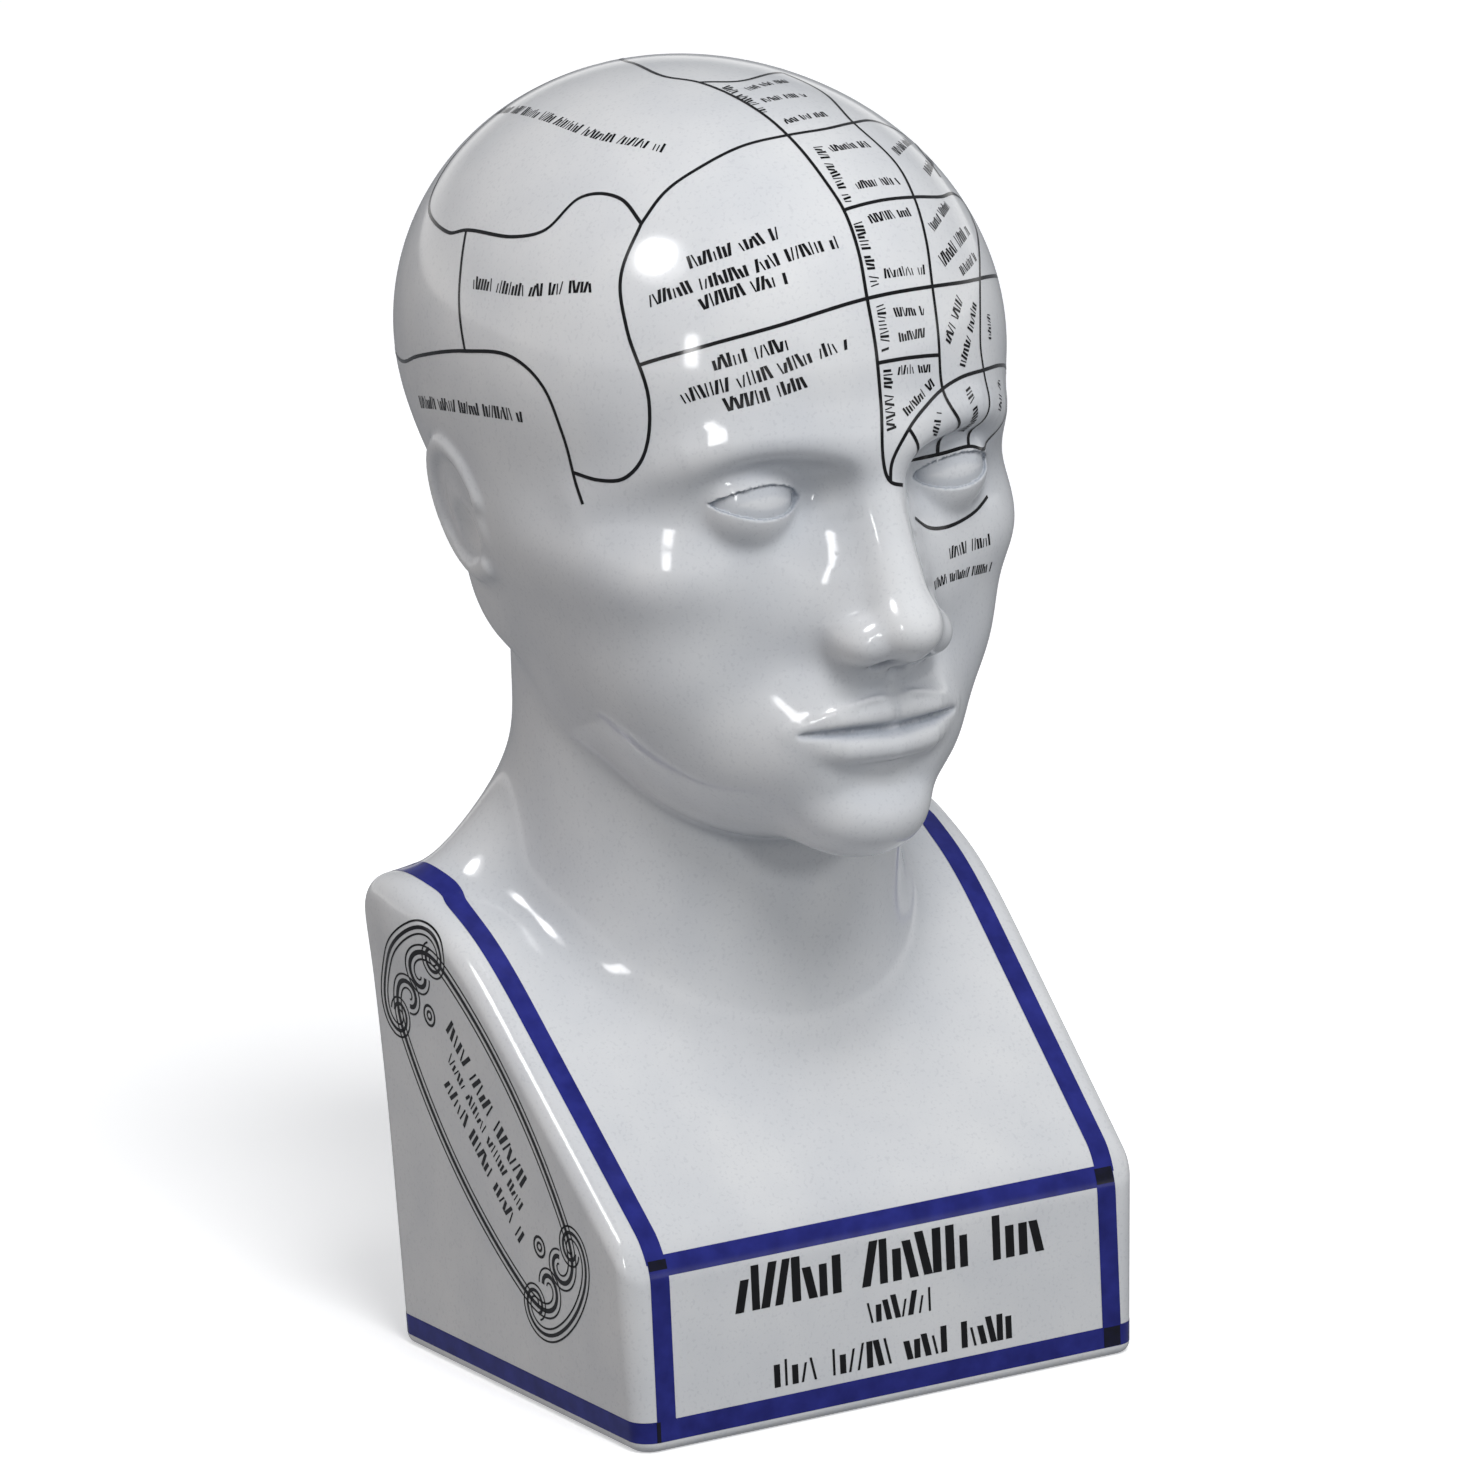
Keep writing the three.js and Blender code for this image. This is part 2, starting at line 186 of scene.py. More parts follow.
def sculpt_face():
    lump(12, [0, -11, 38], [30.5, 31, 38])
    lump(10, [0, -21, 18], [22, 25, 17.5])
    lump(8, [20.5, -3, 25], [6.2, 9, 14])
    lump(8, [24.5, 5, 36], [7, 9, 12])
    lump(8, [0, -24, 36], [19.5, 21.2, 15])
    lump(12, [18.4, -21, 29], [9, 13, 11])
    lump(7, [0, -33.5, 20.5], [14, 13.6, 10.5])
    lump(8, [0, -37.6, 6.9], [9, 9.2, 6.6])
    lump(12, [19, -27, 40.5], [9.5, 9.5, 6])
    lump(14, [26, -12, 42], [6, 13, 5.5])


def sculpt_brow():
    lump(7, [0, -41.8, 57.2], [7, 4.6, 5])
    rib(9, [[4, -43.6, 56.2], [13.5, -42.4, 58], [22, -36.4, 56.6], [29, -21, 50]], [2.1, 2, 1.2, 0.1])
    hollow(6, [14.6, -47, 50.6], [10.2, 9.4, 5.6])
    hollow(3.5, [7.4, -45.9, 50.8], [2.6, 5, 3.4])


def sculpt_nose():
    rib(6, [[0, -39.6, 51], [0, -43.2, 33.4]], [4.8, 8])
    rib(4.5, [[0, -43.6, 54], [0, -46.9, 44], [0, -50.6, 35.6]], [2.9, 3.2, 3.8])
    lump(3.2, [0, -51.7, 33.6], [4.4, 4.8, 4])
    lump(3, [5.1, -47.4, 31.7], [3, 4.7, 3.2])
    rib(2, [[0, -52.2, 30.9], [0, -48.2, 29.2]], [1.6, 1.5])
    hollow(1, [3.1, -50.2, 28.9], [1.4, 2.7, 1.5])
    lump(2.6, [3.4, -50, 32.4], [3, 3, 2.8])


def sculpt_mouth():
    rib(2.2, [[1.6, -46.8, 21.9], [6.6, -45.2, 21.3], [12, -40.9, 19.7]], [2, 1.9, 0.9])
    rib(2.4, [[0, -46.3, 16.7], [5.6, -45, 17.1], [11.4, -40.9, 18.8]], [2.7, 2.4, 0.9])
    groove(1.4, [[0, -48.5, 19.4], [6.2, -47.2, 19.5], [11.4, -44.2, 19.3]], [0.75, 0.65, 0.2])
    groove(1.2, [[0, -47.6, 19.4], [6.2, -46.3, 19.5], [11.6, -43.3, 19.2]], [0.26, 0.24, 0.1])
    rib(1.3, [[0, -47.6, 23.1], [2.2, -48, 23.7], [6.8, -46.5, 22.7], [11.6, -43, 20]], [0.3, 0.35, 0.3, 0.1])
    groove(2.4, [[0, -48.5, 27.2], [0, -49.1, 24.6]], [0.7, 0.85])
    hollow(5, [0, -49.4, 12.4], [8.6, 4.4, 2])


EAR_X, EAR_Y, EAR_Z = 32.6, 4.2, 44.2
EAR_HALF_WIDTH = 6.4
EAR_HALF_HEIGHT = 9.0
EAR_LEAN = (EAR_Z, 0.16, 0.2)


def ear_arc(x, share, start, end, steps):
    turns = np.radians(np.linspace(start, end, steps + 1))
    back = EAR_HALF_WIDTH * share * np.cos(turns)
    rise = EAR_HALF_HEIGHT * share * np.sin(turns)
    return np.column_stack([np.full(steps + 1, x), EAR_Y + back, EAR_Z + rise])


def sculpt_ear():
    rim = ear_arc(EAR_X + 1.5, 0.93, 165, -120, 8)
    furrow = ear_arc(EAR_X + 3.4, 0.62, 150, -20, 5)
    lump(2.4, [EAR_X, EAR_Y, EAR_Z], [2.4, EAR_HALF_WIDTH, EAR_HALF_HEIGHT], EAR_LEAN)
    rib(2.2, rim, [1.2] * len(rim), EAR_LEAN)
    groove(2, furrow, [1.1] * len(furrow), EAR_LEAN)
    hollow(2, [EAR_X + 3.6, EAR_Y - 1, EAR_Z - 2.6], [2.4, 2.6, 3.8], EAR_LEAN)
    lump(1.6, [EAR_X + 1, EAR_Y - 5.4, EAR_Z - 2], [1.3, 1.4, 2.2], EAR_LEAN)


# Eyeball with two lids: a slightly larger ball, opened where the eye looks out
EYE = np.array([14.6, -36.2, 50.2])
EYE_RADIUS = 6.0
EYE_REACH = 2.5 * EYE_RADIUS
LID_THICKNESS = 0.6
EYE_HALF_WIDTH = 7.0
EYE_UPPER, EYE_LOWER, EYE_SLANT = 2.6, 1.8, 0.3
LID_EDGE_BLEND, LID_BLEND, BALL_BLEND = 0.5, 2.6, 0.25


def add_eyes(d, p):
    reach = np.linalg.norm(p - EYE, axis=1)
    close = reach < EYE_REACH
    u = (p[close, 0] - EYE[0]) / EYE_HALF_WIDTH
    rise = p[close, 2] - EYE[2] - EYE_SLANT * u
    gap = np.maximum(rise - EYE_UPPER * (1 - u * u), -EYE_LOWER * (1 - u * u) - rise)
    lids = soft_meet(reach[close] - EYE_RADIUS - LID_THICKNESS, -gap, LID_EDGE_BLEND)
    d[close] = soft_union(soft_union(d[close], lids, LID_BLEND), reach[close] - EYE_RADIUS, BALL_BLEND)
    return d


MIDDLE_BLEND = 0.02
FAR_MARGIN = 4.0  # a form further off than its blend and this has no say at a point near the surface


def head_distance(p):
    sided = p.copy()
    sided[:, 0] = np.sqrt(p[:, 0] ** 2 + MIDDLE_BLEND)
    d = None
    for sign, blend, parts, lean, centre, reach, paired in sculpt:
        q = (sided if paired else p).copy()
        if lean is not UPRIGHT:
            up = p[:, 2] - lean[0]
            q[:, 0] -= lean[1] * up
            q[:, 1] -= lean[2] * up
        if d is None:
            d = parts[0]["distance"](q)
            continue
        close = np.linalg.norm(q - centre, axis=1) < reach + blend + FAR_MARGIN
        if not close.any():
            continue
        near = np.min([part["distance"](q[close]) for part in parts], axis=0)
        d[close] = sign * soft_union(sign * d[close], near, blend)
    return add_eyes(d, sided)


FRONT_Y = -BASE_DEPTH / 2
BACK_Y = BASE_DEPTH / 2
FLARE = (SHOULDER_WIDTH - BASE_WIDTH) / 2 / SHOULDER_HEIGHT
SWELL_START, SWELL_END = 0.4 * SHOULDER_HEIGHT, 0.9 * SHOULDER_HEIGHT
CREST_FALL = 0.02  # the top of the shoulders drops a little towards the back
CREST_MIDDLE = BACK_Y * 0.7


def back_face(y, z):
    swell = np.clip((z - SWELL_START) / (SWELL_END - SWELL_START), 0, 1)
    return y - BACK_Y - BACK_SWELL * swell * swell


def block_profile(y, z):
    front = FRONT_Y + PANEL_DRAFT * z - y
    behind_panel = y - FRONT_Y - PANEL_DRAFT * PANEL_HEIGHT
    chest = (z - PANEL_HEIGHT) * math.cos(CHEST_SLOPE) - behind_panel * math.sin(CHEST_SLOPE)
    crest = z - SHOULDER_HEIGHT + CREST_FALL * (y - CREST_MIDDLE)
    over = round_edge(front, soft_meet(chest, crest, CREST_BLEND), EDGE_RADIUS)
    return round_edge(over, back_face(y, z), BACK_EDGE_RADIUS)


def half_width(z):
    return BASE_WIDTH / 2 + FLARE * z


# The neck is an upright oval rod, and each shoulder a tapered rod that leads out of it
NECK_LOW = np.array([0, NECK_SETBACK, SHOULDER_HEIGHT - 30])
NECK_HIGH = np.array([0, NECK_SETBACK, HEAD_BASE + HEAD_HEIGHT * 0.37])
SHOULDER_ROOT = np.array([NECK_WIDTH * 0.245, NECK_SETBACK + 16, SHOULDER_HEIGHT + 14])
SHOULDER_TIP = np.array([SHOULDER_WIDTH / 2 - 10.4, NECK_SETBACK + 22, SHOULDER_HEIGHT - 9.4])
ROOT_RADIUS, TIP_RADIUS = 20.0, 8.0
SHOULDER_MIDDLE_BLEND = 0.5
HEAD_REACH = 25.0  # further than this below the chin the head has no say


def bust_distance(p):
    """Distance in millimetres from each point to the surface of the casting, negative inside it."""
    x, y, z = p.T
    side = (np.abs(x) - half_width(z)) / math.hypot(1, FLARE)
    block = round_edge(round_edge(block_profile(y, z), side, EDGE_RADIUS), -z, FOOT_RADIUS)
    narrowed = p / [NECK_WIDTH / NECK_DEPTH, 1, 1]
    d = soft_union(block, rod(narrowed, NECK_LOW, NECK_HIGH, NECK_DEPTH / 2, NECK_DEPTH / 2), NECK_BLEND)
    sided = np.column_stack([np.sqrt(x * x + SHOULDER_MIDDLE_BLEND), y, z])
    d = soft_union(d, rod(sided, SHOULDER_ROOT, SHOULDER_TIP, ROOT_RADIUS, TIP_RADIUS), SHOULDER_BLEND)
    d = soft_meet(d, back_face(y, z), BACK_BLEND)
    high_up = z > HEAD_BASE - HEAD_REACH
    share = HEAD_HEIGHT / 100
    head = head_distance((p[high_up] - [0, HEAD_SETBACK, HEAD_BASE]) / share) * share
    d[high_up] = soft_union(d[high_up], head, JAW_BLEND)
    return d


# The four corners of a small tetrahedron round a point give the distance there and the way that it grows
PROBE = 0.05
CORNERS = np.array([[1, -1, -1], [-1, -1, 1], [-1, 1, -1], [1, 1, 1]])
FLATTEST_SLOPE = 0.05
LARGEST_MOVE = 4.0


def probe(p):
    """The distance at each point and its slope, which points out of the surface."""
    found = np.array([bust_distance(p + PROBE * corner) for corner in CORNERS])
    return found.mean(axis=0), (found.T @ CORNERS) / (4 * PROBE)


def unit(ways):
    return ways / np.linalg.norm(ways, axis=1)[:, None]


def on_surface(p, steps=3, lift=0.0):
    """The points moved onto the surface, or lift millimetres off it, with the way out at each of them."""
    for _ in range(steps):
        distance, slope = probe(p)
        move = (distance - lift) / np.maximum((slope * slope).sum(axis=1), FLATTEST_SLOPE)
        p = p - np.clip(move, -LARGEST_MOVE, LARGEST_MOVE)[:, None] * slope
    return p, unit(probe(p)[1])


def together(arrays, work):
    """Runs work once on many arrays of points and gives each its own share of the two results."""
    cuts = np.cumsum([len(a) for a in arrays])[:-1]
    places, outs = work(np.vstack(arrays))
    return np.split(places, cuts), np.split(outs, cuts)


for carve in (sculpt_skull, sculpt_face, sculpt_brow, sculpt_nose, sculpt_mouth, sculpt_ear):
    carve()


# Materials
def linear(code):
    """The linear colour of an sRGB hex value such as 'e6e8ea'."""
    parts = [int(code[i : i + 2], 16) / 255 for i in (0, 2, 4)]
    return [c / 12.92 if c <= 0.04045 else ((c + 0.055) / 1.055) ** 2.4 for c in parts] + [1.0]


def add_node(tree, kind, inputs=None, stops=(), **settings):
    """A node with its settings and links. An input is a value or a socket, a stop a place and a hex."""
    node = tree.nodes.new(kind)
    for name, value in settings.items():
        setattr(node, name, value)
    for name, value in (inputs or {}).items():
        if isinstance(value, bpy.types.NodeSocket):
            tree.links.new(value, node.inputs[name])
        else:
            node.inputs[name].default_value = value
    elements = node.color_ramp.elements if stops else ()
    while len(elements) < len(stops):
        elements.new(0.5)
    for element, (place, code) in zip(elements, stops):
        element.position = place
        element.color = linear(code)
    return node


# A clear glaze. Its relief is waves and pinhole-sized unevenness, each with its length in mm, noise detail,
# strength and depth in mm.
GLAZE_IOR = 1.5
GLAZE_RELIEF = ((9, 1.0, 0.5, 0.12), (1, 2.0, 0.12, 0.02))
GLAZE_ROUGHNESS = 0.1
PRINT_ROUGHNESS = 0.11

# A colour Mix node's sockets share their names, so they go by their numbers
MIX_SHARE, MIX_A, MIX_B, MIX_RESULT = 0, 6, 7, 2


def glossy_surface(name, roughness):
    """A clear ceramic glaze over a coloured body, with the faint waviness of a poured glaze."""
    material = bpy.data.materials.new(name)
    material.use_nodes = True
    tree = material.node_tree
    shader = tree.nodes["Principled BSDF"]
    shader.inputs["Roughness"].default_value = roughness
    shader.inputs["IOR"].default_value = GLAZE_IOR
    place = add_node(tree, "ShaderNodeTexCoord").outputs["Object"]
    normal = {}
    for length, detail, strength, depth in GLAZE_RELIEF:
        ripple = {"Vector": place, "Scale": 1 / (length * MM), "Detail": detail}
        height = add_node(tree, "ShaderNodeTexNoise", ripple).outputs["Fac"]
        relief = {"Strength": strength, "Distance": depth * MM, "Height": height, **normal}
        normal = {"Normal": add_node(tree, "ShaderNodeBump", relief).outputs["Normal"]}
    tree.links.new(normal["Normal"], shader.inputs["Normal"])
    return material, tree, shader, place


def white_glaze():
    """Glazed white earthenware: cool white, a little greyer and bluer where glaze has pooled in a hollow."""
    material, tree, shader, place = glossy_surface("white_earthenware_glaze", GLAZE_ROUGHNESS)
    # Faint clouds in the white, about 22 mm across
    cloud = add_node(tree, "ShaderNodeTexNoise", {"Vector": place, "Scale": 1 / (22 * MM), "Detail": 3.0})
    stops = [(0.3, "d0d2d5"), (0.7, "dadbdc")]
    body = add_node(tree, "ShaderNodeValToRGB", {"Fac": cloud.outputs["Fac"]}, stops)
    pooled = add_node(tree, "ShaderNodeAttribute", attribute_name="glaze_pool").outputs["Fac"]
    mixed = {MIX_SHARE: pooled, MIX_A: body.outputs["Color"], MIX_B: linear("8c95a3")}
    colour = add_node(tree, "ShaderNodeMix", mixed, data_type="RGBA", blend_type="MIX")
    # Specks in the clay, about 0.4 mm, barely darker than the glaze
    specks = add_node(tree, "ShaderNodeTexNoise", {"Vector": place, "Scale": 1 / (0.8 * MM), "Detail": 1.0})
    stops = [(0.3, "d9dade"), (0.42, "ffffff")]
    grain = add_node(tree, "ShaderNodeValToRGB", {"Fac": specks.outputs["Fac"]}, stops)
    mixed = {MIX_SHARE: 0.25, MIX_A: colour.outputs[MIX_RESULT], MIX_B: grain.outputs["Color"]}
    speckled = add_node(tree, "ShaderNodeMix", mixed, data_type="RGBA", blend_type="MULTIPLY")
    tree.links.new(speckled.outputs[MIX_RESULT], shader.inputs["Base Color"])
    return material


def printed_colour(name, thin, full, grain_mm):
    """A transfer print under the same glaze: its colour is thinner in patches, where the sheet took less."""
    material, tree, shader, place = glossy_surface(name, PRINT_ROUGHNESS)
    patches = {"Vector": place, "Scale": 1 / (grain_mm * MM), "Detail": 3.0}
    patchy = add_node(tree, "ShaderNodeTexNoise", patches).outputs["Fac"]
    colour = add_node(tree, "ShaderNodeValToRGB", {"Fac": patchy}, [(0.32, full), (0.72, thin)])
    tree.links.new(colour.outputs["Color"], shader.inputs["Base Color"])
    return material


# The casting itself: the solid's own mesh, cut finer where it bends and laid on the true surface
SAME_PLACE = 0.001  # corners of the solid's loose triangles that are nearer than this are one
FINEST_EDGE = 0.45
BEND_ALLOWANCE = 0.017  # how far in mm a straight edge may cut inside the surface
REFINE_PASSES = 6
UNFOLD_PASSES = 8
TIPPED = 0.5  # cosine of the angle between a face and the surface from which the face counts as tipped
FOOT_RIM = 0.5  # the evening out leaves everything below this height alone
POOL_DEPTH = 2.5  # a hollow narrower than about twice this holds a little more glaze
POOL_TINT = 0.75

# The fine surface stands up to 0.4 mm proud of the solid's facets, so it is all drawn in to the solid's box
FILM_ROOM = 0.12
fitting = {"scale": np.ones(3), "shift": np.zeros(3)}


def settle_in_box(points):
    low, high = np.array(cad_box) / MM
    low, high = low + [FILM_ROOM, FILM_ROOM, 0], high - FILM_ROOM
    fine_low, fine_high = points.min(axis=0), points.max(axis=0)
    fitting["scale"] = (high - low) / (fine_high - fine_low)
    fitting["shift"] = low - fine_low * fitting["scale"]


def mesh_object(name, bm, material, outs=None):
    """A finished object. One with its own outward ways lies on the casting, and is drawn in with it."""
    if outs is not None:
        for vert in bm.verts:
            vert.co = (np.array(vert.co) / MM * fitting["scale"] + fitting["shift"]) * MM
    mesh = bpy.data.meshes.new(name)
    bm.to_mesh(mesh)
    bm.free()
    mesh.shade_smooth()
    if outs is not None:
        mesh.normals_split_custom_set_from_vertices([tuple(v) for v in outs])
    mesh.materials.append(material)
    piece = bpy.data.objects.new(name, mesh)
    bpy.context.scene.collection.objects.link(piece)
    return piece


def settle(verts, outward):
    """Moves vertices onto the surface and keeps the way out at each of them."""
    places, outs = on_surface(np.array([vert.co for vert in verts]) / MM)
    places[:, 2] = np.maximum(places[:, 2], 0)
    for vert, place, out in zip(verts, places * MM, outs):
        vert.co = place
        vert[outward] = out


def glazed_bust():
    bm = bmesh.new()
    bm.from_mesh(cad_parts[BUST].data)
    bmesh.ops.remove_doubles(bm, verts=bm.verts, dist=SAME_PLACE * MM)
    outward = bm.verts.layers.float_vector.new("outward")
    settle(bm.verts, outward)
    for _ in range(REFINE_PASSES):
        bm.verts.index_update()
        bm.edges.ensure_lookup_table()
        co = np.array([vert.co for vert in bm.verts]) / MM
        outs = np.array([vert[outward] for vert in bm.verts])
        a, b = np.array([[vert.index for vert in edge.verts] for edge in bm.edges]).T
        length = np.linalg.norm(co[a] - co[b], axis=1)
        bend = np.arccos(np.clip((outs[a] * outs[b]).sum(axis=1), -1, 1))
        # A straight edge under an arc that turns by bend is an eighth of length times bend inside it
        rough = (length * bend / 8 > BEND_ALLOWANCE) & (length > 2 * FINEST_EDGE)
        if not rough.any():
            break
        edges = [bm.edges[i] for i in np.flatnonzero(rough)]
        made = bmesh.ops.subdivide_edges(bm, edges=edges, cuts=1)["geom_inner"]
        settle([part for part in made if isinstance(part, bmesh.types.BMVert)], outward)
        bmesh.ops.triangulate(bm, faces=[face for face in bm.faces if len(face.verts) > 3])
    unfold(bm, outward)
    co = np.array([vert.co for vert in bm.verts]) / MM
    outs = np.array([vert[outward] for vert in bm.verts])
    pool = np.clip((POOL_DEPTH - bust_distance(co + POOL_DEPTH * outs)) / POOL_DEPTH, 0, 1)
    outs[co[:, 2] < SAME_PLACE] = [0, 0, -1]
    settle_in_box(co)
    piece = mesh_object("glazed_bust", bm, white_glaze(), outs)
    attribute = piece.data.attributes.new("glaze_pool", "FLOAT", "POINT")
    attribute.data.foreach_set("value", (POOL_TINT * pool).astype(np.float32))
    return piece


def agreement(face, outward):
    """Cosine of the angle between a face and the surface at its corners."""
    way = sum((vert[outward] for vert in face.verts), Vector())
    return face.normal.dot(way.normalized())


def unfold(bm, outward):
    """Evens out the few faces that the moves have tipped off the surface, and closes those folded over."""
    for _ in range(UNFOLD_PASSES):
        bm.normal_update()
        tipped = [face for face in bm.faces if agreement(face, outward) < TIPPED]
        closed = {}
        for face in tipped:
            if agreement(face, outward) < 0:
                edge = min(face.edges, key=bmesh.types.BMEdge.calc_length)
                if not any(vert in closed for vert in edge.verts):
                    closed.update({vert: edge for vert in edge.verts})
        moved = {vert for face in tipped for vert in face.verts if vert.co.z > FOOT_RIM * MM}
        if closed:
            bmesh.ops.collapse(bm, edges=list(set(closed.values())))
            moved = {vert for vert in moved if vert.is_valid}
        if not moved:
            break
        moved = list(moved)
        bmesh.ops.smooth_vert(bm, verts=moved, factor=0.5, use_axis_x=True, use_axis_y=True, use_axis_z=True)
        settle(moved, outward)


# Prints lie on the surface as films, each a grid of faces bent over it. Films that cross lie at different
# heights.
FILM_LIFT = 0.05
FILM_STEP = 0.01
OVERLAP_LIFT = 0.1
SKULL_CENTRE = np.array([0, 7.8, 199.5])
OUTSIDE_SKULL = 130.0  # further from the skull's centre than any point of the head
HALVINGS = 12


def resample(points, step):
    """Points of the same line at an even spacing of about step."""
    run = np.concatenate([[0], np.cumsum(np.linalg.norm(np.diff(points, axis=0), axis=1))])
    count = max(2, int(round(run[-1] / step)) + 1)
    spots = np.linspace(0, run[-1], count)
    return np.column_stack([np.interp(spots, run, points[:, k]) for k in range(3)])


def straight(start, end, step):
    return resample(np.array([start, end]), step)


def way_to(azimuth, elevation):
    """The way out towards a bearing in degrees; the face looks to azimuth 0."""
    turn, rise = np.radians(azimuth), np.radians(elevation)
    return np.stack([np.sin(turn) * np.cos(rise), -np.cos(turn) * np.cos(rise), np.sin(rise)], axis=-1)


def skull_path(bearings, step=1.0):
    """A smooth line over the head through bearings, each an azimuth and an elevation from its centre."""
    azimuths, elevations = np.array(bearings, float).T
    ways = unit(smooth_curve(way_to(azimuths, elevations), 8))
    near, far = np.zeros(len(ways)), np.full(len(ways), OUTSIDE_SKULL)
    for _ in range(HALVINGS):
        middle = (near + far) / 2
        inside = bust_distance(SKULL_CENTRE + ways * middle[:, None]) < 0
        near, far = np.where(inside, middle, near), np.where(inside, far, middle)
    return resample(SKULL_CENTRE + ways * far[:, None], step)


def tangents(path):
    return unit(np.gradient(path, axis=0))


def band(path, outs, width, across):
    """Grid points for a band of that width along a path on the surface."""
    side = np.cross(tangents(path), outs)
    shares = np.linspace(-0.5, 0.5, across + 1)
    return path[:, None, :] + side[:, None, :] * (shares[None, :, None] * width)


def film_piece(name, grids, material, lift=FILM_LIFT):
    """One piece out of many films, each given as rows of points."""
    flat = [grid.reshape(-1, 3) for grid in grids]
    places, outs = together(flat, lambda p: on_surface(p, 2, lift))
    bm = bmesh.new()
    for grid, place in zip(grids, places):
        rows, columns = grid.shape[:2]
        made = bmesh.ops.create_grid(bm, x_segments=columns - 1, y_segments=rows - 1, size=1)
        order = sorted(made["verts"], key=lambda v: (round(v.co.y, 5), round(v.co.x, 5)))
        for vert, spot in zip(order, place * MM):
            vert.co = spot
    bm.verts.index_update()
    stored = np.array([v.co for v in bm.verts]) / MM
    piece = mesh_object(name, bm, material, unit(probe(stored)[1]))
    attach(piece, "root")
    return piece


# Cobalt bands along the block's edges
BAND_WIDTH = 4.9
BAND_FACES = 6  # faces across a band
BAND_STEP = 1.5  # spacing of the points along a straight one
PANEL_BAND_X = 58.8
PANEL_BAND_END = PANEL_BAND_X + 2.4
PANEL_TOP_Z = 43.3
PANEL_SIDE_TOP_Z = PANEL_TOP_Z + 2
FOOT_BAND_Z = 4.9
CHEST_BAND_X = 57.0  # at the foot; it moves outwards as the block flares
CHEST_BAND_HEIGHTS = (43.3, 48, 54, 62, 72, 82, 92, 99, 105, 109)
SHOULDER_BAND_X = 62.2
SHOULDER_BAND_PLACES = (28, 36, 44, 50)
REAR_ENDS = ((-2.6, 108.6), (0.0, 104.5))  # its last points: y from the back face, and z
FEELER_STEP = 0.5
FEELER_STEPS = 200
CORNER_POINTS = 9


def chest_edge(sign):
    """The middle of the band up one edge of the chest and over the shoulder, from the panel to the back."""
    path = []
    for z in CHEST_BAND_HEIGHTS:
        y = FRONT_Y
        for _ in range(FEELER_STEPS):
            if block_profile(np.array([y]), np.array([z]))[0] < 0:
                break
            y += FEELER_STEP
        path.append([sign * (CHEST_BAND_X + FLARE * z), y, z])
    path += [[sign * SHOULDER_BAND_X, y, SHOULDER_HEIGHT] for y in SHOULDER_BAND_PLACES]
    path += [[sign * SHOULDER_BAND_X, BACK_Y + BACK_SWELL + back, z] for back, z in REAR_ENDS]
    return resample(smooth_curve(path, 6), 1.0)


def foot_ring(z):
    """A level line all round the block, rounded at its corners as the block is."""
    r = EDGE_RADIUS
    side, front, back = half_width(z) - r, FRONT_Y + PANEL_DRAFT * z + r, BACK_Y - r
    ring = []
    for x, y, start in ((side, front, -90), (side, back, 0), (-side, back, 90), (-side, front, 180)):
        for turn in np.radians(np.linspace(start, start + 90, CORNER_POINTS)):
            ring.append([x + r * math.cos(turn), y + r * math.sin(turn), z])
    ring.append(ring[0])
    return resample(np.array(ring), 0.8)


def cobalt_bands():
    cobalt = printed_colour("cobalt_under_glaze", "262c84", "181d6a", 6)
    top = [PANEL_BAND_END, FRONT_Y, PANEL_TOP_Z]
    lines = {
        "panel_top": straight([-PANEL_BAND_END, FRONT_Y, PANEL_TOP_Z], top, BAND_STEP),
        "foot": foot_ring(FOOT_BAND_Z),
    }
    for side, x in (("l", -PANEL_BAND_X), ("r", PANEL_BAND_X)):
        top = [x, FRONT_Y, PANEL_SIDE_TOP_Z]
        lines["panel_" + side] = straight([x, FRONT_Y, FOOT_BAND_Z], top, BAND_STEP)
        lines["chest_" + side] = chest_edge(math.copysign(1, x))
    places, outs = together(list(lines.values()), lambda p: on_surface(p, 3))
    for number, (name, path, out) in enumerate(zip(lines, places, outs)):
        grid = band(path, out, BAND_WIDTH, BAND_FACES)
        film_piece(f"cobalt_band_{name}", [grid], cobalt, FILM_LIFT + FILM_STEP * number)


# Where two bands cross on the panel: the middle of each dark patch, then its width and height
OVERLAPS = (
    (-PANEL_BAND_X, PANEL_TOP_Z + 0.4, 4.6, 2.6),
    (PANEL_BAND_X, PANEL_TOP_Z, 4.6, 4.2),
    (PANEL_BAND_X, FOOT_BAND_Z, 4.4, 4.6),
    (-PANEL_BAND_X - 2.1, FOOT_BAND_Z, 1.0, 4.7),
)


def band_overlaps():
    """Where two bands of the transfer cross, the colour is doubled and fires nearly black."""
    doubled = printed_colour("doubled_cobalt_under_glaze", "0f102c", "08091a", 2)
    shares = np.linspace(-0.5, 0.5, 5)
    grids = []
    for x, z, width, height in OVERLAPS:
        grids.append(np.array([[[a, FRONT_Y, b] for a in shares * width + x] for b in shares * height + z]))
    film_piece("cobalt_overlaps", grids, doubled, FILM_LIFT + OVERLAP_LIFT)


